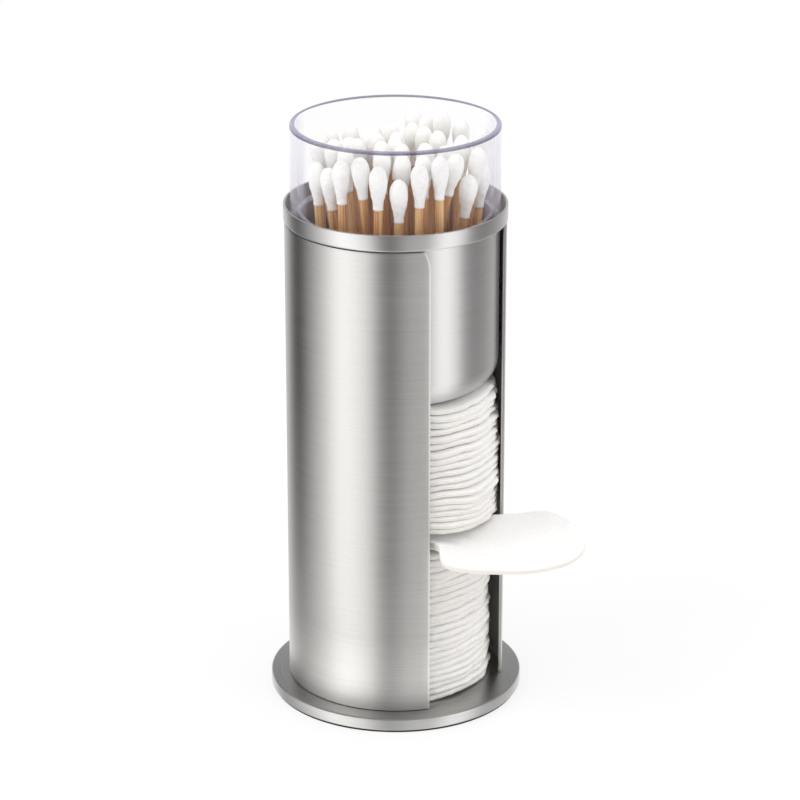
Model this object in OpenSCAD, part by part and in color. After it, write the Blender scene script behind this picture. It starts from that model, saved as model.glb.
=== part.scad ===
// Cotton pad holder with a swab cup. A slotted steel tube stands on a round steel foot and
// holds a stack of cotton pads. A steel cup hangs in the tube's top by its stepped rim, lifts
// out, and holds a clear tumbler full of cotton swabs. One pad is drawn half out of the slot.
// Origin: centre of the foot's underside. +Z is up and the slot faces -Y. Millimetres.

/* [Foot] */
// Diameter of the steel foot plate
foot_d = 76; // [74:0.5:100]
// Thickness of the foot plate, from its rim to its top face
foot_t = 4.2; // [3:0.1:8]
// Radius of the foot plate's broken edges
foot_edge_r = 0.5; // [0.2:0.1:1]
// Thickness of the anti-slip disc glued under the foot plate
grip_t = 1.1; // [0.8:0.1:2]
// How far the anti-slip disc stands out below the foot plate
grip_proud = 0.3; // [0.2:0.05:0.6]
// How far the anti-slip disc is set in from the foot plate's edge
grip_inset = 3; // [2:0.5:8]

/* [Tube] */
// Outer diameter of the tube
tube_d = 65; // [62:0.5:70]
// Thickness of the tube's sheet
tube_wall = 0.8; // [0.6:0.1:1.2]
// Height of the tube above the foot plate
tube_h = 143.5; // [125:0.5:155]
// Width of the slot, as an angle about the tube's axis
slot_angle = 62; // [50:1:75]
// Height of the curve that opens the slot's top corners
flare_h = 6; // [4:0.5:10]
// How far that curve leads back from the slot's edge at the top
flare_w = 1.8; // [1:0.1:3]

/* [Steel cup] */
// Gap between the cup's body and the inside of the tube
cup_gap = 1.85; // [1.2:0.05:3]
// Thickness of the cup's sheet
cup_wall = 0.7; // [0.5:0.1:1]
// Depth of the cup below the tube's top edge
cup_depth = 50; // [46:0.5:55]
// Outer radius of the cup's bottom corner
cup_corner_r = 8.5; // [7:0.5:10]
// Radius of the bend between the cup's body and its shoulder
cup_bend_r = 0.3; // [0.2:0.05:0.5]
// Height of the rim band above the tube's top edge
band_h = 5; // [4:0.5:9]
// How far the rim band stands out past the tube
band_over = 0.3; // [0.1:0.05:0.6]
// Radius of the rim band's lower edge
band_corner_r = 0.7; // [0.3:0.1:1]

/* [Clear tumbler] */
// Gap between the tumbler's body and the steel cup
tumbler_gap = 0.35; // [0.2:0.05:0.6]
// Wall of the tumbler's body and floor
tumbler_wall = 1.5; // [1.2:0.1:1.8]
// Wall of the tumbler's wider upper part
tumbler_rim_wall = 2; // [1.6:0.1:2.4]
// Gap between the tumbler's upper part and the rim band
tumbler_band_gap = 1.4; // [1:0.1:1.8]
// How far the tumbler stands above the rim band
tumbler_rise = 23.8; // [18:0.2:30]
// Outer radius of the tumbler's bottom corner
tumbler_corner_r = 6.5; // [5.5:0.1:7.5]
// Radius that rounds both edges of the tumbler's rim
tumbler_lip_r = 0.6; // [0.3:0.1:0.9]

/* [Cotton pads] */
// Diameter of a cotton pad
pad_d = 57; // [50:0.5:58]
// Thickness of a cotton pad in the stack
pad_t = 1.7; // [1.4:0.05:1.75]
// Rise from one pad of the stack to the next
pad_pitch = 1.98; // [1.95:0.01:2.4]
// Pads in the stack below the drawn one
pads_below = 24; // [12:1:26]
// Height that the drawn pad holds open in the stack
drawn_room = 5; // [4.6:0.1:7]
// Least space between the top pad and the steel cup
head_room = 2.2; // [1:0.1:6]
// Most that a pad lies off the tube's axis by chance
pad_stray = 0.6; // [0:0.1:0.8]
// Height of the waves in the stacked pads
pad_wave = 0.5; // [0:0.05:0.6]
// Fall from left to right of the first pad over the drawn one
pad_slope = 3.2; // [0:0.1:3.6]

/* [Drawn pad] */
// How far the drawn pad's centre lies out from the tube's axis
drawn_out = 36; // [30:0.5:40]
// Thickness of the drawn pad, loose and flat
drawn_t = 1.9; // [1.5:0.1:2.4]
// Width that the drawn pad is gathered to where it passes the slot
drawn_neck = 26; // [20:0.5:28]
// Length of the stretch over which the drawn pad is gathered
drawn_neck_l = 9; // [7:0.5:12]
// Share of its full width that the drawn pad keeps away from the slot
drawn_open = 0.84; // [0.75:0.01:1]
// How far the drawn pad's sides curl up at the slot
drawn_curl = 3; // [0:0.1:3.4]
// How far the drawn pad's free end is lifted
drawn_rise = 2.4; // [0:0.1:5]

/* [Cotton swabs] */
// Length of a swab
swab_l = 73; // [70:0.5:75]
// Diameter of a swab's bamboo stick
stick_d = 2.6; // [2:0.1:3]
// Largest diameter of a swab's cotton tip
tip_d = 5.5; // [5:0.1:5.6]
// Length of a cotton tip
tip_l = 13; // [10:0.5:15]
// Length of a cotton tip's rounded end
tip_cap_l = 4.2; // [3:0.1:5]
// How deep a stick ends inside the cotton of its tip
stick_inset = 1.6; // [1:0.1:2.5]
// Swabs behind the front row
swabs_behind = 34; // [20:1:34]

/* [Hidden] */
cut = 1;
soft_n = 28;
fine = 96;
tip_fine = 24;
slack = 0.05;

foot_r = foot_d / 2;
foot_top = grip_proud + foot_t;
grip_r = foot_r - grip_inset;
grip_clear = 0.3;

tube_r = tube_d / 2;
tube_in_r = tube_r - tube_wall;
tube_top = foot_top + tube_h;
// The flare's arc leaves the slot's edge at a slight angle, so its centre lies flare_low lower
flare_low = flare_h / 4;
flare_x = (flare_w * flare_w + flare_h * flare_h + 2 * flare_h * flare_low) / (2 * flare_w);
flare_r = norm([flare_x, flare_low]);

cup_r = tube_in_r - cup_gap;
cup_in_r = cup_r - cup_wall;
cup_bottom = tube_top - cup_depth;
band_r = tube_r + band_over;
band_in_r = band_r - cup_wall;
band_top = tube_top + band_h;
seat_z = tube_top + cup_wall;

tumbler_r = cup_in_r - tumbler_gap;
tumbler_in_r = tumbler_r - tumbler_wall;
tumbler_rim_r = band_in_r - tumbler_band_gap;
tumbler_rim_in_r = tumbler_rim_r - tumbler_rim_wall;
tumbler_top = band_top + tumbler_rise;
// The tumbler's corner arc keeps its gap to the cup's corner arc, which sets its underside
cup_arc_r = cup_corner_r - cup_wall;
arc_dx = (tumbler_r - tumbler_corner_r) - (cup_in_r - cup_arc_r);
arc_play = max(abs(arc_dx), cup_arc_r - tumbler_corner_r - tumbler_gap);
tumbler_bottom = max(cup_bottom + cup_wall + tumbler_gap,
                     cup_bottom + cup_corner_r - tumbler_corner_r
                     - sqrt(arc_play * arc_play - arc_dx * arc_dx));
tumbler_floor = tumbler_bottom + tumbler_wall;

pad_r = pad_d / 2;
pads_below_top = foot_top + slack + pads_below * pad_pitch;
pads_above_bottom = pads_below_top + drawn_room;
pads_above = floor((cup_bottom - head_room - pads_above_bottom) / pad_pitch);
pad_count = pads_below + pads_above;
pad_ids = [for (i = [1 : pad_count]) str("cotton_pad_", i < 10 ? "0" : "", i)];
pad_play = tube_in_r - pad_r - 0.35;
soft_gap = 0.3;
drawn_bunch = 0.3;
drawn_lead = 3;

// Cuts an outside corner of a profile at p to radius r. The material lies towards s.
module trim(p, r, s) {
  difference() {
    translate([p.x - (s.x > 0 ? cut : r), p.y - (s.y > 0 ? cut : r)]) square(r + cut);
    translate(p + r * s) circle(r, $fn = fine);
  }
}

// Fills an inside corner of a profile at p to radius r. The open side lies towards s.
module fill(p, r, s) {
  difference() {
    translate([p.x - (s.x > 0 ? 0 : r), p.y - (s.y > 0 ? 0 : r)]) square(r);
    translate(p + r * s) circle(r, $fn = fine);
  }
}

// Rectangle of a profile from the low corner a to the high corner b
module block(a, b) {
  translate(a) square(b - a);
}

// Foot: a turned disc with broken edges and a shallow recess below for the anti-slip disc
module foot_plate() {
  recess_top = grip_t + slack;
  color([0.74, 0.75, 0.77]) rotate_extrude($fn = fine) difference() {
    block([0, grip_proud], [foot_r, foot_top]);
    block([-cut, grip_proud - cut], [grip_r + grip_clear, recess_top]);
    trim([foot_r, foot_top], foot_edge_r, [-1, -1]);
    trim([foot_r, grip_proud], foot_edge_r, [-1, 1]);
  }
}

// Black foam disc that the holder stands on
module foot_grip() {
  color([0.09, 0.09, 0.1]) cylinder(h = grip_t, r = grip_r, $fn = fine);
}

// Tools for the two flared top corners of the slot: side is 1 for the +X edge, -1 for -X
module slot_flare(side) {
  rotate([0, 0, -90 + side * slot_angle / 2]) rotate([90, 0, 90])
    translate([0, tube_top - flare_h - flare_low, tube_in_r - cut])
      linear_extrude(tube_wall + 2 * cut) difference() {
        translate([side > 0 ? -cut : -flare_w - cut, 0])
          square([flare_w + 2 * cut, flare_h + flare_low + cut]);
        translate([side * flare_x, 0]) circle(flare_r, $fn = fine);
      }
}

// Tube: one rolled sheet, open at the slot from the foot to its top edge
module tube() {
  color([0.7, 0.71, 0.73]) difference() {
    rotate([0, 0, -90 + slot_angle / 2])
      rotate_extrude(angle = 360 - slot_angle, $fn = fine)
        block([tube_in_r, foot_top], [tube_r, tube_top]);
    for (side = [-1, 1]) slot_flare(side);
  }
}

// Steel cup: deep-drawn body whose shoulder sits on the tube's top edge under a rim band
module steel_cup() {
  color([0.78, 0.79, 0.81]) rotate_extrude($fn = fine) difference() {
    union() {
      block([0, cup_bottom], [cup_r, seat_z]);
      block([0, tube_top], [band_r, band_top]);
      fill([cup_r, tube_top], cup_bend_r, [1, -1]);
    }
    trim([cup_r, cup_bottom], cup_corner_r, [-1, 1]);
    trim([band_r, tube_top], band_corner_r, [-1, 1]);
    difference() {
      union() {
        block([-cut, cup_bottom + cup_wall], [cup_in_r, band_top + cut]);
        block([-cut, seat_z], [band_in_r, band_top + cut]);
        trim([cup_in_r, seat_z], cup_bend_r + cup_wall, [1, -1]);
      }
      fill([cup_in_r, cup_bottom + cup_wall], cup_arc_r, [-1, 1]);
    }
  }
}

// Clear tumbler: moulded in one piece, its wider upper part resting on the cup's shoulder
module clear_tumbler() {
  inner_corner_r = tumbler_corner_r - tumbler_wall;
  step_z = seat_z + tumbler_rim_wall;
  color([0.85, 0.85, 0.95, 0.45]) rotate_extrude($fn = fine) difference() {
    union() {
      block([0, tumbler_bottom], [tumbler_r, step_z]);
      block([0, seat_z], [tumbler_rim_r, tumbler_top]);
    }
    trim([tumbler_r, tumbler_bottom], tumbler_corner_r, [-1, 1]);
    trim([tumbler_rim_r, tumbler_top], tumbler_lip_r, [-1, -1]);
    trim([tumbler_rim_in_r, tumbler_top], tumbler_lip_r, [1, -1]);
    difference() {
      union() {
        block([-cut, tumbler_floor], [tumbler_in_r, tumbler_top + cut]);
        block([-cut, step_z], [tumbler_rim_in_r, tumbler_top + cut]);
      }
      fill([tumbler_in_r, tumbler_floor], inner_corner_r, [-1, 1]);
    }
  }
}

// Closed skin over rings of points, listed from the lower to the upper ring and all with
// the same number of points, with a centre point at each end. ends holds those two points.
module ring_skin(ends, rings) {
  n = len(rings[0]);
  last = len(rings) - 1;
  top = 1 + len(rings) * n;
  points = concat([ends[0]], [for (ring = rings) each ring], [ends[1]]);
  faces = concat(
    [for (k = [0 : n - 1]) [0, 1 + k, 1 + (k + 1) % n]],
    [for (r = [0 : last - 1]) for (k = [0 : n - 1])
      let (a = 1 + r * n + k, b = 1 + r * n + (k + 1) % n)
        each [[a, b + n, b], [a, a + n, b + n]]],
    [for (k = [0 : n - 1]) [top, 1 + last * n + (k + 1) % n, 1 + last * n + k]]);
  polyhedron(points, faces, convexity = 4);
}

// Smooth step from 0 to 1 as t runs from 0 to 1
function ease(t) = let (c = min(1, max(0, t))) c * c * (3 - 2 * c);

// Height of the stack's sheets over level at x, y. share runs from 0 at the foot or under
// the steel cup to 1 beside the drawn pad, and over is 1 above that pad and -1 below it.
// Behind the drawn pad the upper sheets drop until they rest on the lower ones.
function sag(x, y, share, over) =
  let (turn = atan2(y, x), out = norm([x, y]) / pad_r,
       back = over > 0 ? ease(y / pad_r + 0.1) : 0,
       tilt = over > 0 ? -pad_slope / 2 * cos(turn - 25) : pad_slope / 6 * cos(turn + 20))
    share * ((1 - back) * out * tilt - back * (drawn_room - slack))
    + out * pad_wave * min(1, 3 * share) * cos(2 * turn + 190 * share) / 2;

// A stacked pad: a soft disc with rounded edges that follows the sag of the stack
module stacked_pad(i) {
  above = i > pads_below;
  level = above ? i - pads_below - 1 : i - 1;
  base = (above ? pads_above_bottom : foot_top + slack) + level * pad_pitch;
  share = above ? 1 - level / max(pads_above - 1, 1) : level / max(pads_below - 1, 1);
  chance = rands(-1, 1, 3, 40 + i);
  lead = above ? 1.7 * share : -0.8;
  off = [0.66, -0.75] * lead + pad_stray * [chance[0], chance[1]];
  c = off * min(1, pad_play / max(norm(off), 0.01));
  edge = pad_t * 0.3;
  rings = [[pad_r - edge, 0], [pad_r, edge], [pad_r, pad_t - edge], [pad_r - edge, pad_t]];
  z0 = base + (pad_pitch - pad_t) / 2;
  over = above ? 1 : -1;
  color(i % 2 == 0 ? [0.98, 0.97, 0.96] : [0.94, 0.93, 0.92]) ring_skin(
    [[c.x, c.y, z0 + sag(c.x, c.y, share, over)],
     [c.x, c.y, z0 + pad_t + sag(c.x, c.y, share, over)]],
    [for (ring = rings) [for (k = [0 : soft_n - 1])
      let (a = 360 * k / soft_n, x = c.x + ring[0] * cos(a), y = c.y + ring[0] * sin(a))
        [x, y, z0 + ring[1] + sag(x, y, share, over)]]]);
}

// A point of the drawn pad: v runs across it, u along the way it is drawn, h is its height.
// In the slot its width is gathered, which thickens it and curls its sides up. Inside the
// tube it rises to the sheets over it.
function drawn_point(v, u, h) =
  let (y = -drawn_out - u,
       near = exp(-pow((y + tube_in_r - 2) / drawn_neck_l, 2)),
       wide = drawn_open + (drawn_neck / pad_d - drawn_open) * near,
       side = v / pad_r,
       curl = drawn_curl * near * side * side * (side < 0 ? 1 : 0.45),
       free = min(1, max(0, (-y - tube_in_r + 6) / pad_r)),
       x = v * wide + drawn_lead * free,
       inside = ease((y + tube_in_r - 4) / (pad_r / 2)),
       lift = drawn_room - 2 * soft_gap - drawn_t * (1 + drawn_bunch / 2) + sag(x, y, 1, 1),
       rise = drawn_rise * ease(free) + max(0, lift) * inside,
       thick = 1 + drawn_bunch * near)
    [x, y,
     pads_below_top + soft_gap + drawn_t / 2 * (1 + drawn_bunch) + curl + rise + h * thick];

// The pad that is half out of the slot
module drawn_pad() {
  n = 40;
  edge = drawn_t * 0.3;
  half = drawn_t / 2;
  rim = 1 - edge / pad_r;
  rings = [[0.3, -half], [0.6, -half], [0.82, -half], [rim, -half], [1, -half + edge],
           [1, half - edge], [rim, half], [0.82, half], [0.6, half], [0.3, half]];
  color([1, 1, 0.99]) ring_skin(
    [drawn_point(0, 0, -half), drawn_point(0, 0, half)],
    [for (ring = rings) [for (k = [0 : n - 1])
      let (a = 360 * k / n, r = pad_r * ring[0]) drawn_point(r * cos(a), -r * sin(a), ring[1])]]);
}

// The swabs stand on the tumbler's floor and lean. Each is held here as four numbers: x, y
// where its axis meets the floor and x, y where it reaches the height bunch_h above it.
bunch_h = swab_l;
stick_r = stick_d / 2;
tip_r = tip_d / 2;
foot_reach = tumbler_in_r - (tumbler_corner_r - tumbler_wall) - 0.3;
head_reach = tumbler_rim_in_r - tip_r - 0.2;
// Front row: the side of the front that each head leans to, then its foot's side and reach
front_row = [[-64, -60, 20], [-50, -42, 17], [-36, -40, 21], [-22, -14, 13], [-10, -12, 21],
             [1, 4, 13], [15, 10, 20], [28, 36, 19], [52, 0, 13], [56, 44, 18],
             [73, 75, 13], [88, 70, 20]];
front_side = -49;
// Levels at which neighbours are kept apart, as a share of bunch_h, and the distance there
levels = [[0.05, tip_d + 0.35], [0.11, tip_d - 0.3], [0.2, stick_d + 1], [0.4, stick_d + 0.5],
          [0.6, stick_d + 0.5], [0.8, stick_d + 1.1], [0.88, tip_d - 0.2], [0.94, tip_d + 0.35]];
near_reach = 3 * tip_d;

function ray(angle, reach) = reach * [sin(angle), -cos(angle)];
function front_start() = [for (f = front_row)
  concat(ray(front_side + f[1], f[2]), ray(front_side + f[0], head_reach))];
function behind_start() = let (chance = rands(-1, 1, 2 * swabs_behind, 12))
  [for (i = [0 : swabs_behind - 1])
    let (r = sqrt((i + 0.5) / swabs_behind), a = 137.5 * i,
         p = ray(a, r * foot_reach) - ray(front_side, 3),
         q = ray(a + 22 * sin(40 * i), r * head_reach) - ray(front_side, 3.5))
      concat(p, q + 5 * [chance[2 * i], chance[2 * i + 1]])];

function at_level(s, w) = [s[0] * (1 - w) + s[2] * w, s[1] * (1 - w) + s[3] * w];
function kept_in(p, reach) = p * min(1, reach / max(norm(p), 0.001));
// The moves that bring swab s clear of swab t, one for each level where they are too close
function moves(s, t) = [for (l = levels)
  let (w = l[0], d = at_level(s, w) - at_level(t, w), gap = norm(d))
    if (gap < l[1])
      let (m = d / max(gap, 0.01) * (l[1] - gap) / 2 / (w * w + (1 - w) * (1 - w)))
        [m.x * (1 - w), m.y * (1 - w), m.x * w, m.y * w]];
function moved(all, mids, i) =
  let (list = [for (j = [0 : len(all) - 1])
         if (j != i && norm(mids[j] - mids[i]) < near_reach) each moves(all[i], all[j])],
       n = all[i] + (len(list) == 0 ? [0, 0, 0, 0] : [for (k = list) 0.5] * list))
    concat(kept_in([n[0], n[1]], foot_reach), kept_in([n[2], n[3]], head_reach));
function settled(all, rounds) = rounds == 0 ? all :
  let (mids = [for (s = all) at_level(s, 0.5)])
    settled([for (i = [0 : len(all) - 1]) moved(all, mids, i)], rounds - 1);
function swabs() = settled(concat(front_start(), behind_start()), 110);

// Puts its children along swab s, with their origin at the middle of the lower tip's cap
module along(s) {
  run = [s[2] - s[0], s[3] - s[1]];
  lean = atan2(norm(run), bunch_h);
  lift = sqrt(pow(tip_cap_l * cos(lean), 2) + pow(tip_r * sin(lean), 2)) + slack;
  p = at_level(s, lift / bunch_h);
  translate([p.x, p.y, tumbler_floor + lift]) rotate([0, lean, atan2(run.y, run.x)]) children();
}

// Cotton tip, wound to a bud on the stick's end, with its rounded end down
module cotton_tip() {
  neck = tip_l - tip_cap_l;
  cap = [for (a = [-90 : 22.5 : 0]) [tip_r * cos(a), tip_cap_l * sin(a)]];
  taper = [for (k = [1 : 5]) let (f = k / 5)
    [tip_r - (tip_r - stick_r - 0.25) * (1 - cos(180 * f)) / 2, 0.6 + (neck - 0.6) * f]];
  rotate_extrude($fn = tip_fine) polygon(concat(cap, taper,
    [[stick_r, neck], [stick_r, stick_inset - tip_cap_l], [0, stick_inset - tip_cap_l]]));
}

// Bamboo sticks of all the swabs
module swab_sticks() {
  color([0.85, 0.65, 0.42]) for (s = swabs()) along(s)
    translate([0, 0, stick_inset - tip_cap_l])
      cylinder(h = swab_l - 2 * stick_inset, r = stick_r, $fn = tip_fine);
}

// Cotton tips at the swabs' upper ends
module swab_tips_upper() {
  color([0.99, 0.99, 0.98]) for (s = swabs()) along(s)
    translate([0, 0, swab_l - 2 * tip_cap_l]) mirror([0, 0, 1]) cotton_tip();
}

// Cotton tips at the swabs' lower ends, standing on the tumbler's floor
module swab_tips_lower() {
  color([0.97, 0.97, 0.96]) for (s = swabs()) along(s) cotton_tip();
}

foot_plate();
foot_grip();
tube();
steel_cup();
clear_tumbler();
swab_sticks();
swab_tips_upper();
swab_tips_lower();
drawn_pad();
for (i = [1 : pad_count]) {
  stacked_pad(i);
}
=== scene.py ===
import random
from math import atan2, cos, exp, pi, radians, sin, sqrt, tau

import bmesh
import bpy
from mathutils import Matrix, Vector, noise
from mathutils.bvhtree import BVHTree


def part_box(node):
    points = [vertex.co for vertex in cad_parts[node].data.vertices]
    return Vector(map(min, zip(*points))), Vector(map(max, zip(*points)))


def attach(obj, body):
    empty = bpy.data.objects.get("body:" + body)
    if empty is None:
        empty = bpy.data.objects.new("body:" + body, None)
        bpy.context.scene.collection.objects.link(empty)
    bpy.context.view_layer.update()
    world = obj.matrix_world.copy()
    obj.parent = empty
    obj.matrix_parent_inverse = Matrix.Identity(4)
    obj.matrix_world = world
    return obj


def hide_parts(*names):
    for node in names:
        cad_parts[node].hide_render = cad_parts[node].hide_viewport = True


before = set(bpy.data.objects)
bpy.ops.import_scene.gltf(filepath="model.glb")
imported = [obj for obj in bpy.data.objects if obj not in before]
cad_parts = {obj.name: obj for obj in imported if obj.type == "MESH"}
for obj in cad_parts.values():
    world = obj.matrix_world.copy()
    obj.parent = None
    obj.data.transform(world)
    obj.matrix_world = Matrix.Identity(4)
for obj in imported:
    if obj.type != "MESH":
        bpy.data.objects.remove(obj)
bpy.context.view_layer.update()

MM = 0.001
LENS, LENS_TURN, LENS_TILT = 148.86, -49.08, 20.76
scene = bpy.context.scene
scene.view_settings.view_transform = "Standard"

camera = bpy.data.objects.new("camera", bpy.data.cameras.new("camera"))
camera.data.sensor_width = 36
camera.data.lens = LENS
camera.data.clip_start = 0.05
camera.location = (-0.69434, -0.60358, 0.440)
camera.rotation_euler = (radians(90 - LENS_TILT), 0, radians(LENS_TURN))
scene.collection.objects.link(camera)
scene.camera = camera


def linear(code):
    """An sRGB hex colour as linear red, green, blue and alpha."""
    parts = [int(code[i:i + 2], 16) / 255 for i in (0, 2, 4)]
    return [p / 12.92 if p <= 0.04045 else ((p + 0.055) / 1.055) ** 2.4 for p in parts] + [1.0]


def add(tree, kind, sockets=(), **settings):
    """A new node. Each input in sockets takes a plain value or the output that feeds it."""
    made = tree.nodes.new(kind)
    for key, value in settings.items():
        setattr(made, key, value)
    for key, value in dict(sockets).items():
        if isinstance(value, bpy.types.NodeSocket):
            tree.links.new(value, made.inputs[key])
        else:
            made.inputs[key].default_value = value
    return made


def ramp(tree, fac, stops):
    """A colour ramp through (position, grey or colour) stops."""
    made = add(tree, "ShaderNodeValToRGB", {0: fac})
    points = made.color_ramp.elements
    for place, tone in stops[2:]:
        points.new(place)
    for point, (place, tone) in zip(points, stops):
        point.position = place
    for point, (place, tone) in zip(points, stops):
        point.color = tone if isinstance(tone, list) else [tone, tone, tone, 1.0]
    return made.outputs["Color"]


def places(tree):
    """The object coordinates one by one, and as a vector straight out from the Z axis."""
    spot = add(tree, "ShaderNodeTexCoord").outputs["Object"]
    part = add(tree, "ShaderNodeSeparateXYZ", {0: spot}).outputs
    return part, add(tree, "ShaderNodeCombineXYZ", {0: part[0], 1: part[1]}).outputs[0]


def length(tree, vector):
    """How long a vector is."""
    return add(tree, "ShaderNodeVectorMath", {0: vector}, operation="LENGTH").outputs["Value"]


def fade(tree, value, start, end, low=0.0, high=1.0, **settings):
    """A value that goes from low to high while the given one goes from start to end."""
    return add(tree, "ShaderNodeMapRange", {"Value": value, "From Min": start, "From Max": end,
                                            "To Min": low, "To Max": high}, **settings).outputs[0]


def blank(name):
    """A material with an empty tree, and its output node."""
    made = bpy.data.materials.new(name)
    made.use_nodes = True
    made.node_tree.nodes.clear()
    return made, made.node_tree, made.node_tree.nodes.new("ShaderNodeOutputMaterial")


def mirrored_ray(tree):
    """1 for a ray that a glossy surface has thrown back, and 0 for all others."""
    path = add(tree, "ShaderNodeLightPath")
    return add(tree, "ShaderNodeMath", {0: path.outputs["Is Glossy Ray"],
                                        1: path.outputs["Is Reflection Ray"]},
               operation="MULTIPLY").outputs[0]


# Studio: tall soft boxes stand to the left and right of the lens and leave it in a darker gap,
# which gives round steel its upright bands. Each pair below is the angle from the lens, to the
# right seen from it, and how bright the room is there. Matt things get even white light.
ROOM = [(-180, 1.00), (-165, 1.05), (-152, 0.90), (-141, 0.58), (-133, 0.16), (-124, 0.0),
        (-114, 0.03), (-104, 0.36), (-89, 0.82), (-75, 1.42), (-62, 2.20), (-50, 2.10),
        (-39, 1.80), (-28, 1.38), (-17, 0.36), (-6, 0.04), (4, 0.34), (15, 0.68),
        (34, 0.62), (43, 1.40), (53, 2.00), (63, 1.90), (73, 1.45), (83, 0.42),
        (98, 0.24), (116, 0.34), (136, 0.55), (157, 0.90), (180, 1.00)]
CEILING = (0.40, 0.40, 0.41, 1)

room = bpy.data.worlds.new("room")
room.use_nodes = True
scene.world = room
tree = room.node_tree
tree.nodes.clear()
way = add(tree, "ShaderNodeTexCoord").outputs["Generated"]
# The radial gradient starts behind the object, so angles run left to right past the lens
turned = add(tree, "ShaderNodeMapping",
             {"Vector": way, "Rotation": (0, 0, radians(90 - LENS_TURN))}, vector_type="POINT")
around = add(tree, "ShaderNodeTexGradient", {0: turned.outputs[0]}, gradient_type="RADIAL")
bands = ramp(tree, around.outputs["Fac"], [((a + 180) / 360, v) for a, v in ROOM])
height = add(tree, "ShaderNodeSeparateXYZ", {0: way}).outputs["Z"]
# Above the boxes the room is an even grey
lift = fade(tree, height, 0.2, 0.38)
over = add(tree, "ShaderNodeMix", {"Factor": lift, 6: bands, 7: CEILING}, data_type="RGBA")
mirror = mirrored_ray(tree)
gloss = add(tree, "ShaderNodeBackground", {"Color": over.outputs[2], "Strength": 1.0})
even = add(tree, "ShaderNodeBackground", {"Color": (1, 1, 1, 1), "Strength": 0.95})
both = add(tree, "ShaderNodeMixShader", {0: mirror, 1: even.outputs[0], 2: gloss.outputs[0]})
add(tree, "ShaderNodeOutputWorld", {"Surface": both.outputs[0]})

AIM = Vector((0, 0, 0.09))


def soft_box(name, turn, up, far, size, watts):
    """An area light turn degrees from the lens and up degrees high that faces the tube."""
    lamp = bpy.data.objects.new(name, bpy.data.lights.new(name, "AREA"))
    lamp.data.shape = "RECTANGLE"
    lamp.data.size, lamp.data.size_y = size
    lamp.data.energy = watts
    a = radians(LENS_TURN + turn)
    lamp.location = (far * sin(a) * cos(radians(up)), -far * cos(a) * cos(radians(up)),
                     far * sin(radians(up)) + AIM.z)
    lamp.rotation_euler = (AIM - lamp.location).to_track_quat("-Z", "Y").to_euler()
    lamp.visible_glossy = False
    scene.collection.objects.link(lamp)


soft_box("left_box", -62, 48, 1.4, (0.7, 0.7), 5)
soft_box("right_box", 66, 36, 1.4, (0.7, 0.7), 2)

# Shelf: a plain white top far larger than the view. It glows a little of its own, so that shadows
# on it stay faint. Steel mirrors only a patch of it near the foot, which glows brighter for
# mirrored rays alone and fades out.
SHELF_HALF = 4
PATCH_FROM, PATCH_TO, PATCH_SHARE = 0.06, 0.30, 0.42
bm = bmesh.new()
bmesh.ops.create_grid(bm, x_segments=1, y_segments=1, size=SHELF_HALF)
shelf = bpy.data.objects.new("shelf", bpy.data.meshes.new("shelf"))
bm.to_mesh(shelf.data)
bm.free()
scene.collection.objects.link(shelf)
white, tree, out = blank("white lacquer")
where = add(tree, "ShaderNodeTexCoord").outputs["Object"]
glow_patch = fade(tree, length(tree, where), PATCH_FROM, PATCH_TO, PATCH_SHARE, 0.0,
             interpolation_type="SMOOTHSTEP")
matt = add(tree, "ShaderNodeBsdfDiffuse", {"Color": linear("FBFBFB")})
shelf_glow = add(tree, "ShaderNodeEmission", {"Color": (1, 1, 1, 1), "Strength": 1.0})
milky = add(tree, "ShaderNodeMixShader", {0: 0.75, 1: matt.outputs[0], 2: shelf_glow.outputs[0]})
clear = add(tree, "ShaderNodeBsdfTransparent")
glow = add(tree, "ShaderNodeEmission", {"Color": (1, 1, 1, 1), "Strength": 1.42})
mirrored = add(tree, "ShaderNodeMixShader", {0: glow_patch, 1: clear.outputs[0], 2: glow.outputs[0]})
shown = add(tree, "ShaderNodeMixShader", {0: mirrored_ray(tree), 1: milky.outputs[0],
                                          2: mirrored.outputs[0]})
tree.links.new(shown.outputs[0], out.inputs["Surface"])
shelf.data.materials.append(white)

# Foot: a stainless disc turned on a lathe and brushed, with its edges broken and a shallow
# recess below for the grip. The brushing leaves fine lines in the direction of the belt.
FOOT_R, FOOT_LOW, FOOT_TOP = 38 * MM, 0.7 * MM, 4.5 * MM
RECESS_R, RECESS_TOP = 35.3 * MM, 1.15 * MM
EDGE_R, RELIEF = 0.5 * MM, 0.012 * MM


def keep(bm, name, material, nodes, sharp=35):
    """Puts a finished mesh in the scene as a smooth piece that stands for its CAD nodes."""
    mesh = bpy.data.meshes.new(name)
    bm.to_mesh(mesh)
    bm.free()
    for face in mesh.polygons:
        face.use_smooth = True
    if sharp:
        mesh.set_sharp_from_angle(angle=radians(sharp))
    mesh.materials.append(material)
    piece = bpy.data.objects.new(name, mesh)
    scene.collection.objects.link(piece)
    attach(piece, "root")
    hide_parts(*nodes)
    return piece


def turn(points, steps=256):
    """A closed skin turned round the tube's axis from a row of (radius, height) points. A third
    value is the radius that rounds that corner."""
    bm = bmesh.new()
    spots = [bm.verts.new((p[0], 0, p[1])) for p in points]
    for pair in zip(spots, spots[1:]):
        bm.edges.new(pair)
    for spot, p in zip(spots, points):
        if len(p) > 2:
            bmesh.ops.bevel(bm, geom=[spot], offset=p[2], offset_type="OFFSET", segments=6,
                            profile=0.5, affect="VERTICES", material=-1)
    bmesh.ops.spin(bm, geom=bm.verts[:] + bm.edges[:], cent=(0, 0, 0), axis=(0, 0, 1),
                   angle=tau, steps=steps, use_merge=True)
    bmesh.ops.remove_doubles(bm, verts=bm.verts[:], dist=1e-6)
    bmesh.ops.recalc_face_normals(bm, faces=bm.faces[:])
    return bm


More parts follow.
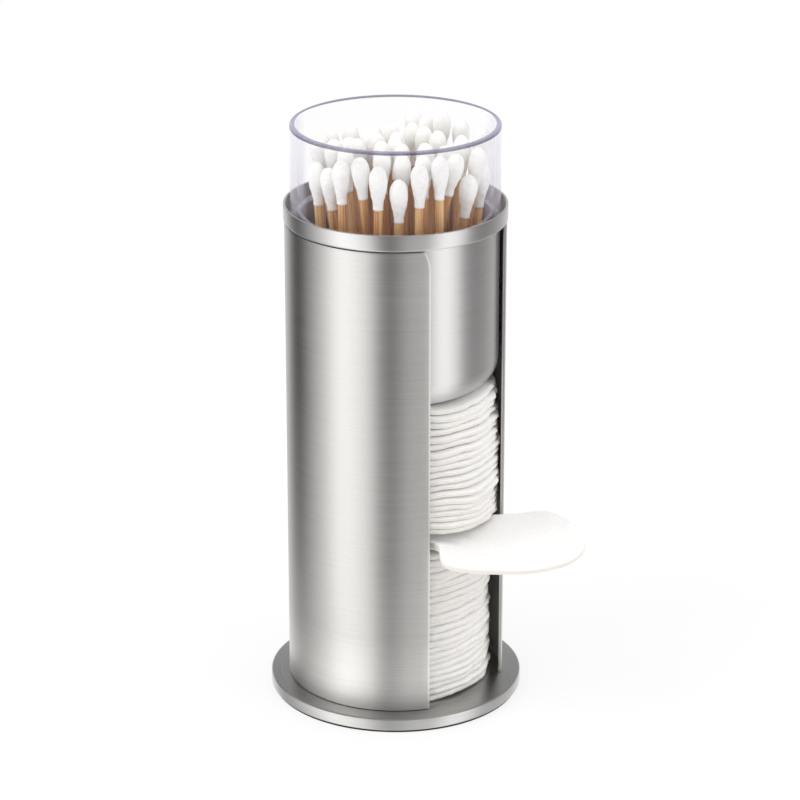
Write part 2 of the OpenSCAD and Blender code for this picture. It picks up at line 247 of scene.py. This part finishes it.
def brushed(name, tint, rough, along=(70, 70, 2600), lines=1.0, one_way=0.9):
    """Stainless steel, belt-brushed. along is how fast the lines change each way, per metre:
    they run on for about 15 mm and lie 0.4 mm apart, twice the real spacing, so that they show.
    Height and distance from the axis are added up, so the lines run round flat faces as well.
    The lines spread light across themselves, so what is mirrored is drawn out into bands.
    lines is how much they show, and one_way how much more they spread light across them."""
    made, tree, out = blank(name)
    part, flat = places(tree)
    across = add(tree, "ShaderNodeMath", {0: part[2], 1: length(tree, flat)})
    place = add(tree, "ShaderNodeCombineXYZ", {0: part[0], 1: part[1],
                                               2: across.outputs[0]}).outputs[0]
    fine = add(tree, "ShaderNodeMapping", {"Vector": place, "Scale": along})
    grain = add(tree, "ShaderNodeTexNoise", {"Vector": fine.outputs[0], "Scale": 1.0, "Detail": 4.0,
                                             "Roughness": 0.65})
    broad = add(tree, "ShaderNodeMapping", {"Vector": place, "Scale": [v * 0.3 for v in along],
                                            "Location": (3, 5, 7)})
    sweep = add(tree, "ShaderNodeTexNoise", {"Vector": broad.outputs[0], "Scale": 1.0,
                                             "Detail": 2.0})
    cloud = add(tree, "ShaderNodeTexNoise", {"Vector": place, "Scale": 28.0, "Detail": 3.0})
    lined = add(tree, "ShaderNodeMix", {0: 0.35, 2: grain.outputs["Fac"], 3: sweep.outputs["Fac"]},
                data_type="FLOAT")
    mixed = add(tree, "ShaderNodeMix", {0: 0.25, 2: lined.outputs[0], 3: cloud.outputs["Fac"]},
                data_type="FLOAT")
    low = [c * (1 - 0.12 * lines) for c in linear(tint)[:3]] + [1.0]
    high = [min(1.0, c * (1 + 0.11 * lines)) for c in linear(tint)[:3]] + [1.0]
    colour = ramp(tree, mixed.outputs[0], [(0.3, low), (0.7, high)])
    spread = fade(tree, mixed.outputs[0], 0.3, 0.7, rough - 0.05, rough + 0.05)
    bump = add(tree, "ShaderNodeBump", {"Height": lined.outputs[0], "Strength": 0.5,
                                        "Distance": RELIEF})
    tangent = add(tree, "ShaderNodeTangent", direction_type="RADIAL", axis="Z")
    steel = add(tree, "ShaderNodeBsdfPrincipled", {
        "Base Color": colour, "Metallic": 1.0, "Roughness": spread,
        "Anisotropic": one_way, "Anisotropic Rotation": 0.25, "Normal": bump.outputs[0],
        "Tangent": tangent.outputs[0]})
    tree.links.new(steel.outputs[0], out.inputs["Surface"])
    return made


foot_steel = brushed("brushed stainless foot", "B9B8B6", 0.30, (60, 60, 2400), one_way=0.4)
bm = turn([(0, FOOT_TOP), (FOOT_R, FOOT_TOP, EDGE_R), (FOOT_R, FOOT_LOW, EDGE_R),
           (RECESS_R, FOOT_LOW), (RECESS_R, RECESS_TOP), (0, RECESS_TOP)])
keep(bm, "foot_disc", foot_steel, ["foot_plate"])

# Grip: a disc of black closed-cell foam glued into the recess. It keeps the foot from sliding
# and lifts the steel clear of the shelf. A thin black ring of it reaches out past the grip, under
# the foot's edge, as a painted shadow line there.
GRIP_R, GRIP_TOP = 35 * MM, 1.1 * MM
# The painted shadow ring's outer radius, and its top just under the steel
SHADOW_RING_R, SHADOW_RING_TOP = 37.3 * MM, FOOT_LOW - 0.02 * MM
foam, tree, out = blank("black foam")
place = add(tree, "ShaderNodeTexCoord").outputs["Object"]
cells = add(tree, "ShaderNodeTexVoronoi", {"Vector": place, "Scale": 1600.0})
dark = ramp(tree, cells.outputs["Distance"], [(0.0, linear("0E0E0F")), (0.6, linear("242426"))])
bump = add(tree, "ShaderNodeBump", {"Height": cells.outputs["Distance"], "Strength": 0.6,
                                    "Distance": 0.15 * MM})
skin = add(tree, "ShaderNodeBsdfPrincipled", {"Base Color": dark, "Roughness": 0.9,
                                              "Normal": bump.outputs[0]})
tree.links.new(skin.outputs[0], out.inputs["Surface"])
bm = turn([(0, GRIP_TOP), (GRIP_R, GRIP_TOP, 0.1 * MM), (GRIP_R, SHADOW_RING_TOP),
           (SHADOW_RING_R, SHADOW_RING_TOP), (SHADOW_RING_R, 0), (0, 0)], 192)
keep(bm, "foot_grip_and_shadow_ring", foam, ["foot_grip"])

# Tube: one stainless sheet rolled round and left open as the slot, which its top corners widen.
# It stands on the foot and is brushed round its outside. A fine dark seam shows at each end.
TUBE_R, WALL, TUBE_TOP = 32.5 * MM, 0.8 * MM, 148 * MM
SLOT = radians(62)
FLARE_H, FLARE_W, FLARE_BEND = 6 * MM, 1.8 * MM, 0.55
SEAM = 0.3 * MM
# Painted light near the foot: the heights where it starts and ends going down, and how much it
# brightens
PAINTED_LIGHT_FROM, PAINTED_LIGHT_TO, PAINTED_LIGHT_GAIN = 28 * MM, 6 * MM, 1.4
INWARD = -16 * MM
tube_steel = brushed("brushed stainless sheet", "C9C7C4", 0.40)
tree = tube_steel.node_tree
steel = tree.nodes["Principled BSDF"]
part, flat = places(tree)
# Painted light: the sheet's colour is made a little brighter near the foot, as in the photograph
painted_light_near_foot = fade(tree, part[2], PAINTED_LIGHT_FROM, PAINTED_LIGHT_TO, 1.0, PAINTED_LIGHT_GAIN)
painted_light_colour = add(tree, "ShaderNodeVectorMath", {0: steel.inputs["Base Color"].links[0].from_socket,
                                              "Scale": painted_light_near_foot}, operation="SCALE")
tree.links.new(painted_light_colour.outputs[0], steel.inputs["Base Color"])
# The inner face, whose normal points at the axis, is made a dull non-metal of the same grey. It
# shows lighter than steel would in the gap at the slot: painted light for what the room throws in
normal = add(tree, "ShaderNodeNewGeometry").outputs["Normal"]
facing = add(tree, "ShaderNodeVectorMath", {0: flat, 1: normal}, operation="DOT_PRODUCT")
outer = add(tree, "ShaderNodeMath", {0: facing.outputs["Value"], 1: INWARD},
            operation="GREATER_THAN")
tree.links.new(outer.outputs[0], steel.inputs["Metallic"])
bm = bmesh.new()
# Where the sheet's rows lie, as shares of its height: close together in the flare
LEVELS = [0, 0.3, 0.6, 0.9, 0.96] + [0.9597 + 0.0403 * k / 8 for k in range(1, 9)]
low_z, high_z = FOOT_TOP + SEAM / 2, TUBE_TOP - SEAM
spots = [bm.verts.new((0, -TUBE_R, low_z + (high_z - low_z) * k)) for k in LEVELS]
line = [bm.edges.new(pair) for pair in zip(spots, spots[1:])]
bmesh.ops.rotate(bm, verts=spots, cent=(0, 0, 0), matrix=Matrix.Rotation(SLOT / 2, 3, "Z"))
bmesh.ops.spin(bm, geom=spots + line, cent=(0, 0, 0), axis=(0, 0, 1), angle=tau - SLOT, steps=240)
half = pi - SLOT / 2
for v in bm.verts:
    rise = max(0.0, (v.co.z - (high_z - FLARE_H)) / FLARE_H)
    bend = 1 - sqrt(max(0.0, 1 - rise * rise * FLARE_BEND))
    flare = FLARE_W * bend / (1 - sqrt(1 - FLARE_BEND))
    a = atan2(v.co.x, v.co.y) * (half - flare / TUBE_R) / half
    v.co.x, v.co.y = TUBE_R * sin(a), TUBE_R * cos(a)
bmesh.ops.recalc_face_normals(bm, faces=bm.faces[:])
if bm.faces[0].normal.dot(bm.faces[0].calc_center_median().to_2d().to_3d()) < 0:
    bmesh.ops.reverse_faces(bm, faces=bm.faces[:])
bmesh.ops.solidify(bm, geom=bm.faces[:], thickness=WALL)
rims = [e for e in bm.edges if len(e.link_faces) == 2
        and e.link_faces[0].normal.angle(e.link_faces[1].normal, 0) > 1.0]
bmesh.ops.bevel(bm, geom=rims, offset=0.12 * MM, offset_type="OFFSET", segments=2, profile=0.5,
                affect="EDGES", material=-1)
keep(bm, "rolled_tube", tube_steel, ["tube"])

# Steel cup: deep-drawn from sheet, so its corners are soft. Its shoulder hangs on the tube's
# top edge, under a low rim band that is as wide as the tube.
CUP_R, SHEET, CUP_LOW = 30.4 * MM, 0.7 * MM, 98 * MM
BAND_R, BAND_TOP, SEAT = 32.8 * MM, 153 * MM, 148.7 * MM
cup_steel = brushed("brushed stainless cup", "CAC8C7", 0.38, lines=0.8)
# A little sheen lightens the cup's steel where it curves away at its sides: a painted highlight
cup_steel.node_tree.nodes["Principled BSDF"].inputs["Sheen Weight"].default_value = 0.25
bm = turn([(0, CUP_LOW), (CUP_R, CUP_LOW, 8.5 * MM), (CUP_R, TUBE_TOP, 0.3 * MM),
           (BAND_R, TUBE_TOP, 0.7 * MM), (BAND_R, BAND_TOP, 0.2 * MM),
           (BAND_R - SHEET, BAND_TOP, 0.2 * MM), (BAND_R - SHEET, SEAT),
           (CUP_R - SHEET, SEAT, 1.0 * MM), (CUP_R - SHEET, CUP_LOW + SHEET, 7.8 * MM),
           (0, CUP_LOW + SHEET)])
keep(bm, "hung_cup", cup_steel, ["steel_cup"])

# Clear tumbler: injection-moulded polystyrene with a faint lavender cast. Its rim is painted a deep
# lavender, for the light that runs lengthwise through it, with a painted highlight along its top.
# Its wider upper part rests on the cup's shoulder. Its wall lets nearly all light pass straight on
# and shows as a thin white veil, denser at its sides.
LOW, FLOOR, TOP = 100 * MM, 101.5 * MM, 176.8 * MM
OUT, IN, RIM_OUT, RIM_IN = 28.8 * MM, 27.3 * MM, 30.7 * MM, 28.7 * MM
styrene, tree, out = blank("clear polystyrene")
part, flat = places(tree)
outer = fade(tree, length(tree, flat), RIM_IN + 0.3 * MM, RIM_IN + 0.6 * MM)
high = fade(tree, part[2], TOP - 1.0 * MM, TOP - 0.8 * MM)
rim = add(tree, "ShaderNodeMath", {0: outer, 1: high}, operation="MULTIPLY")
upper = fade(tree, part[2], TOP - 0.5 * MM, TOP - 0.05 * MM)
slant = add(tree, "ShaderNodeLayerWeight", {"Blend": 0.5}).outputs["Facing"]
wall = ramp(tree, slant, [(0.0, 0.02), (0.58, 0.04), (0.68, 0.27), (1.0, 0.40)])
body = add(tree, "ShaderNodeMix", {0: rim.outputs[0], 2: wall, 3: 0.78}, data_type="FLOAT")
# Painted shade in the rim, turning to a lighter painted highlight at its very top edge
lip = add(tree, "ShaderNodeMix", {0: upper, 6: linear("2F2A55"), 7: linear("827EA0")},
          data_type="RGBA")
cast = add(tree, "ShaderNodeMix", {0: rim.outputs[0], 6: linear("E2E0F2"), 7: lip.outputs[2]},
           data_type="RGBA")
clear = add(tree, "ShaderNodeBsdfPrincipled", {
    "Base Color": cast.outputs[2], "Roughness": 0.04, "IOR": 1.55, "Specular IOR Level": 0.6,
    "Alpha": body.outputs[0]})
tree.links.new(clear.outputs[0], out.inputs["Surface"])
bm = turn([(0, LOW), (OUT, LOW, 6.5 * MM), (OUT, SEAT), (RIM_OUT, SEAT, 0.3 * MM),
           (RIM_OUT, TOP, 0.6 * MM), (RIM_IN, TOP, 0.6 * MM), (RIM_IN, SEAT + 2 * MM, 0.3 * MM),
           (IN, SEAT + 2 * MM), (IN, FLOOR, 5 * MM), (0, FLOOR)])
keep(bm, "clear_tumbler_shell", styrene, ["clear_tumbler"])

# Swab sticks: split bamboo, sanded round, with its fibres running lengthwise and each stick
# of a slightly different tan. They stand in the tumbler and lean on each other.
STICK_R = 1.3 * MM


def islands(node):
    """The separate solids of a CAD node, each as its merged vertices' places."""
    bm = bmesh.new()
    bm.from_mesh(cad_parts[node].data)
    bmesh.ops.remove_doubles(bm, verts=bm.verts[:], dist=1e-6)
    left, groups = set(bm.verts), []
    while left:
        group, edge = set(), [left.pop()]
        while edge:
            v = edge.pop()
            group.add(v)
            near = [e.other_vert(v) for e in v.link_edges]
            edge += [n for n in near if n in left]
            left -= set(near)
        groups.append([v.co.copy() for v in group])
    bm.free()
    return groups


def stick_axes():
    """The lower and upper end of each stick's axis."""
    ends = []
    for spots in islands("swab_sticks"):
        spots.sort(key=lambda p: p.z)
        half = len(spots) // 2
        low = sum(spots[:half], Vector()) / half
        high = sum(spots[-half:], Vector()) / half
        ends.append((low, high))
    return sorted(ends, key=lambda e: (round(e[0].x, 5), round(e[0].y, 5)))


def standing(low, high):
    """The matrix that takes the Z axis from the origin to the line from low to high."""
    return Matrix.Translation(low) @ (high - low).to_track_quat("Z", "X").to_matrix().to_4x4()


# How far each swab has sunk between its neighbours, in mm, in the order of stick_axes
SUNK = [3, 6, 3.3, 6, 1, 0, 7, 1, 2.7, 0, 3.7, 3, 0, 1.6, 1, 2, 1.8, 0.5, 0, 3.3, 4.3, 1, 9,
        1.3, 1, 3.6, 3.7, 1.7, 0, 2, 0, 2.3, 3, 9, 2, 0, 0.7, 6.3, 0, 0.8, 3.7, -1.6, 2.6,
        1.3, 0.6, 1.6]
AXES = [(low, high - (high - low).normalized() * MM * sunk)
        for (low, high), sunk in zip(stick_axes(), SUNK)]
chance = random.Random(5)
bm = bmesh.new()
tone = bm.loops.layers.uv.new("grain")
for number, (low, high) in enumerate(AXES):
    made = bmesh.ops.create_cone(bm, cap_ends=True, segments=20, radius1=STICK_R, radius2=STICK_R,
                                 depth=(high - low).length)["verts"]
    shift = chance.random() * 40
    for face in {f for v in made for f in v.link_faces}:
        for loop in face.loops:
            around = atan2(loop.vert.co.y, loop.vert.co.x) * STICK_R / MM
            loop[tone].uv = (around + shift, loop.vert.co.z / MM + shift * 7)
    bmesh.ops.translate(bm, verts=made, vec=(0, 0, (high - low).length / 2))
    bmesh.ops.transform(bm, verts=made, matrix=standing(low, high))
bamboo, tree, out = blank("sanded bamboo")
laid = add(tree, "ShaderNodeUVMap", uv_map="grain").outputs[0]
fibre = add(tree, "ShaderNodeMapping", {"Vector": laid, "Scale": (2.6, 0.045, 1)})
streak = add(tree, "ShaderNodeTexNoise", {"Vector": fibre.outputs[0], "Scale": 1.0, "Detail": 5.0,
                                          "Roughness": 0.7})
whole = add(tree, "ShaderNodeMapping", {"Vector": laid, "Scale": (0.03, 0.004, 1)})
each = add(tree, "ShaderNodeTexNoise", {"Vector": whole.outputs[0], "Scale": 6.0, "Detail": 0.0})
grain = ramp(tree, streak.outputs["Fac"], [(0.36, linear("9A6229")), (0.47, linear("CC9250")),
                                           (0.58, linear("EDBF86")), (0.7, linear("F8D9AC"))])
tone = ramp(tree, each.outputs["Fac"], [(0.35, linear("BF7B3A")), (0.6, linear("F6CC96"))])
tan = add(tree, "ShaderNodeMix", {0: 0.35, 6: grain, 7: tone}, data_type="RGBA")
bump = add(tree, "ShaderNodeBump", {"Height": streak.outputs["Fac"], "Strength": 0.4,
                                    "Distance": 0.08 * MM})
wood = add(tree, "ShaderNodeBsdfPrincipled", {"Base Color": tan.outputs[2], "Roughness": 0.55,
                                              "Normal": bump.outputs[0]})
tree.links.new(wood.outputs[0], out.inputs["Surface"])
keep(bm, "bamboo_sticks", bamboo, ["swab_sticks"], 40)

# Swab tips: cotton fibre wound round the stick's end into a bud that is widest a third of the
# way down and thins to a soft collar. The winding leaves low slanting ridges and a faint fuzz.
TIP_R, TIP_L, CAP_L, INSET = 2.75 * MM, 13 * MM, 4.2 * MM, 1.6 * MM


def cotton(name, fuzz, tint="FBFAF8", under="F1EEEA", edge=None):
    """Bleached cotton: matt and soft-edged, with light passing a little way into the fibres.
    fuzz is the size of its fibre clumps, per metre. edge is a painted shade: it darkens faces that
    don't lie flat, so the sides of the pads read greyer."""
    made, tree, out = blank(name)
    place = add(tree, "ShaderNodeTexCoord").outputs["Object"]
    fibres = add(tree, "ShaderNodeTexNoise", {"Vector": place, "Scale": fuzz, "Detail": 6.0,
                                              "Roughness": 0.62, "Distortion": 0.6})
    shade = ramp(tree, fibres.outputs["Fac"], [(0.3, linear(under)), (0.62, linear(tint))])
    if edge:
        # Painted shade: faces that stand on edge are darkened towards the edge colour
        normal = add(tree, "ShaderNodeNewGeometry").outputs["Normal"]
        up = add(tree, "ShaderNodeSeparateXYZ", {0: normal})
        flat = add(tree, "ShaderNodeMath", {0: up.outputs[2]}, operation="ABSOLUTE")
        painted_side_shade = fade(tree, flat.outputs[0], 0.25, 0.85, 1.0, 0.0)
        shade = add(tree, "ShaderNodeMix", {0: painted_side_shade, 6: shade, 7: linear(edge)},
                    data_type="RGBA", blend_type="MULTIPLY").outputs[2]
    bump = add(tree, "ShaderNodeBump", {"Height": fibres.outputs["Fac"], "Strength": 0.55,
                                        "Distance": 0.22 * MM})
    body = add(tree, "ShaderNodeBsdfPrincipled", {
        "Base Color": shade, "Roughness": 0.95, "Specular IOR Level": 0.2,
        "Subsurface Weight": 0.35, "Subsurface Radius": (1.0, 0.95, 0.9),
        "Subsurface Scale": 1.2 * MM, "Sheen Weight": 0.25, "Sheen Roughness": 0.5,
        "Normal": bump.outputs[0]})
    tree.links.new(body.outputs[0], out.inputs["Surface"])
    return made


def tip(steps, rings):
    """One smooth tip, standing on the origin with its round end up."""
    bm = bmesh.new()
    rows = []
    for k in range(rings + 1):
        z = TIP_L * k / rings
        down = TIP_L - z
        if down < CAP_L:
            r = TIP_R * sqrt(max(0.0, 1 - (1 - down / CAP_L) ** 2))
        else:
            f = (down - CAP_L) / (TIP_L - CAP_L)
            r = TIP_R - (TIP_R - STICK_R - 0.2 * MM) * (1 - cos(pi * f)) / 2
        rows.append((r, z))
    rows = [(STICK_R, 0.0)] + rows
    bits = [bm.verts.new((r, 0, z)) for r, z in rows]
    edges = [bm.edges.new(pair) for pair in zip(bits, bits[1:])]
    bmesh.ops.spin(bm, geom=bits + edges, cent=(0, 0, 0), axis=(0, 0, 1), angle=tau,
                   steps=steps, use_merge=True)
    bmesh.ops.remove_doubles(bm, verts=bm.verts[:], dist=1e-6)
    bmesh.ops.recalc_face_normals(bm, faces=bm.faces[:])
    return bm


def wound(steps, rings, seeds, ends, name, nodes):
    """All the tips at one end of the swabs, as one piece."""
    bm = bmesh.new()
    for seed, place in zip(seeds, ends):
        single = tip(steps, rings)
        size = 0.97 + 0.04 * random.Random(seed).random()
        for v in single.verts:
            r = sqrt(v.co.x ** 2 + v.co.y ** 2)
            if r < 1e-6:
                continue
            a = atan2(v.co.y, v.co.x)
            wind = sin(2 * a + v.co.z / MM * 2.4 + seed) * exp(-((v.co.z / MM - 3.5) / 3.2) ** 2)
            lump = noise.noise(Vector((v.co.x, v.co.y, v.co.z * 0.6)) * 420
                               + Vector((seed * 9.1, 0, 0)))
            change = (0.07 * wind + 0.2 * lump) * MM
            keep_in = min(1.0, v.co.z / (1.5 * MM))
            scale = (r + (change - 0.12 * MM) * keep_in) / r * size
            v.co.x, v.co.y = v.co.x * scale, v.co.y * scale
        bmesh.ops.transform(single, verts=single.verts[:], matrix=place)
        mesh = bpy.data.meshes.new("one_tip")
        single.to_mesh(mesh)
        single.free()
        bm.from_mesh(mesh)
        bpy.data.meshes.remove(mesh)
    return keep(bm, name, tip_cotton, nodes, 0)


def on_end(start, end):
    """The matrix that puts a tip over the end of the stick that runs from start to end."""
    return standing(end, end + (end - start)) @ Matrix.Translation((0, 0, INSET - TIP_L))


tip_cotton = cotton("wound cotton", 900)
tops = [on_end(low, high) for low, high in AXES]
feet = [on_end(high, low) for low, high in AXES]
upper_tips = wound(32, 26, range(len(tops)), tops, "upper_tips", ["swab_tips_upper"])
lower_tips = wound(16, 12, range(100, 100 + len(feet)), feet, "lower_tips", ["swab_tips_lower"])

# Stacked pads: round cotton fleece pads, pressed at the rim and softer in the middle. They sag
# and lift with the stack, and their cut edges are uneven and a little open.
PAD_R = 28.5 * MM
# The way to the slot's far edge, and how many pads lie below the drawn one
FAR_EDGE = Vector((0.655, -0.756, 0))
BELOW = 24
PADS = len([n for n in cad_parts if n.startswith("cotton_pad_")])
# How far the loose upper stack is drawn upward, and how its lower pads bow at the slot
STRETCH, BOW_H, BOW_W = 3.2 * MM, 1.8 * MM, 11 * MM
THIN, THICK = 1.72, 1.96
# A pad's upper half from its middle out, as shares of its radius and of its thickness
UPPER_HALF = [(0.0, 0.5), (0.35, 0.5), (0.65, 0.5), (0.85, 0.5), (0.93, 0.48), (0.97, 0.42),
              (0.99, 0.3), (1.0, 0.12)]
OUTLINE = UPPER_HALF + [(r, -h) for r, h in reversed(UPPER_HALF)]
# The last colour is the painted shade on the pads' sides and on the drawn pad's outline
pad_cotton = cotton("pressed cotton fleece", 900, "FCFBFA", "F6F4F1", "EDE9E4")


def surfaces(node):
    """A CAD node as a tree that answers where a line up or down meets it."""
    bm = bmesh.new()
    bm.from_mesh(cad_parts[node].data)
    bmesh.ops.remove_doubles(bm, verts=bm.verts[:], dist=1e-6)
    made = BVHTree.FromBMesh(bm)
    bm.free()
    return made


def pushed(up):
    """How far in mm a pad lies towards the slot's far edge. up is 0 at the drawn pad and 1 at
    the stack's top, and the stack above the drawn pad bulges in its middle."""
    if up <= 0:
        return 0.35
    return 2.75 - 1.3 * max(0.0, up - 0.6) / 0.4 - 0.9 * max(0.0, 0.25 - up) / 0.25


def soft_pad(number):
    """One pad in the space of its CAD node, with an uneven rounded edge. Above the drawn pad
    the stack is looser, so it stands a little higher, and its lower pads bow at the slot."""
    node = "cotton_pad_%02d" % number
    low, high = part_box(node)
    pick = random.Random(900 + number)
    mid = Vector(((low[0] + high[0]) / 2, (low[1] + high[1]) / 2, 0))
    up = (number - BELOW) / (PADS - BELOW)
    push = pushed(up) + pick.uniform(-0.7, 0.35)
    shift = FAR_EDGE * (push * MM - mid.dot(FAR_EDGE)) * 0.9
    shift.z = STRETCH * max(0.0, up) ** 1.5
    bent = max(0.0, 1 - abs(up - 0.3) / 0.35)
    held = surfaces(node)
    thick = pick.uniform(THIN, THICK) * MM + 0.1 * MM * max(0.0, up)
    bm = turn([(PAD_R * r, thick * h) for r, h in OUTLINE], 192)
    away = Vector((number * 3.7, number * 1.3, 0))
    for v in bm.verts:
        flat = Vector((v.co.x, v.co.y, 0))
        out = flat.length / PAD_R
        side = v.co.z / thick
        a = flat.normalized() if out > 0 else flat
        rag = (noise.noise(a * 5 + away) * 0.6 + noise.noise(a * 18 + away * 2) * 0.34
               + noise.noise(a * 46 + away) * 0.22)
        split = noise.noise(a * 5 - away) * 0.10 * max(0.0, 1 - abs(side) * 2)
        spot = flat * (1 + (rag + split - 0.28) * MM / PAD_R * out ** 8) + mid
        probe = (spot - mid) * 0.97 + mid
        top = held.ray_cast(Vector((probe.x, probe.y, 1)), Vector((0, 0, -1)))[0]
        bottom = held.ray_cast(Vector((probe.x, probe.y, -1)), Vector((0, 0, 1)))[0]
        level = (top.z + bottom.z) / 2
        dent = noise.noise(spot * 160 + away) * 0.10 * MM * out
        droop = (noise.noise(a * 3.1 + away * 3) * 0.14
                 + noise.noise(a * 2.6 + Vector((0, 0, number * 0.21))) * 0.9) * MM * out ** 3
        bow = exp(-(spot.x / BOW_W) ** 2) * max(0.0, -spot.y / PAD_R) ** 3 * bent * BOW_H
        v.co = Vector((spot.x, spot.y, level + v.co.z + dent + droop - bow)) + shift
    piece = keep(bm, "fleece_pad_%02d" % number, pad_cotton, [node], 0)


for number in range(1, PADS + 1):
    soft_pad(number)

# Drawn pad: the same pad pulled half out of the slot, where its width is gathered into folds.
# Its free half opens again, flat and a little lifted on the far side, and the near side curls.
FOLD_H, LIFT_H, CURL_H = 0.2 * MM, 3.3 * MM, 1.5 * MM
WIDER_NEAR, WIDER_FAR = 0.38, 0.26
bm = bmesh.new()
bm.from_mesh(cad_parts["drawn_pad"].data)
bmesh.ops.remove_doubles(bm, verts=bm.verts[:], dist=1e-6)
bmesh.ops.recalc_face_normals(bm, faces=bm.faces[:])
bmesh.ops.subdivide_edges(bm, edges=bm.edges[:], cuts=2, use_grid_fill=True, smooth=0.6)
bmesh.ops.smooth_vert(bm, verts=bm.verts[:], factor=0.5, use_axis_x=True, use_axis_y=True,
                      use_axis_z=True)


def hump(y, middle, reach):
    """1 at a distance middle in front of the tube's axis, and less to both sides, in mm."""
    return exp(-((y + middle) / reach) ** 2)


def step(value, reach):
    """0 up to 0, then a straight rise to 1 at reach."""
    return min(1.0, max(0.0, value / reach))


for v in bm.verts:
    x, y = v.co.x / MM, v.co.y / MM
    fold = sin(x * 1.15 + 0.8 + y * 0.05) * FOLD_H * hump(y, 30, 8)
    lift = LIFT_H * step(-y - 20, 9) * step(x + 6, 28) ** 2 * (1 - 0.9 * step(-y - 33, 26))
    curl = CURL_H * hump(y, 31, 5) * (max(0.0, -x - 6) / 10) ** 2
    v.co.z += fold + noise.noise(v.co * 90) * 0.10 * MM + lift + curl
    v.co.x *= 1 + (WIDER_NEAR if x < 0 else WIDER_FAR) * hump(y, 34, 6.5)
drawn = keep(bm, "pulled_pad", pad_cotton, ["drawn_pad"], 0)
smooth = drawn.modifiers.new("soft", "SUBSURF")
smooth.levels = smooth.render_levels = 1
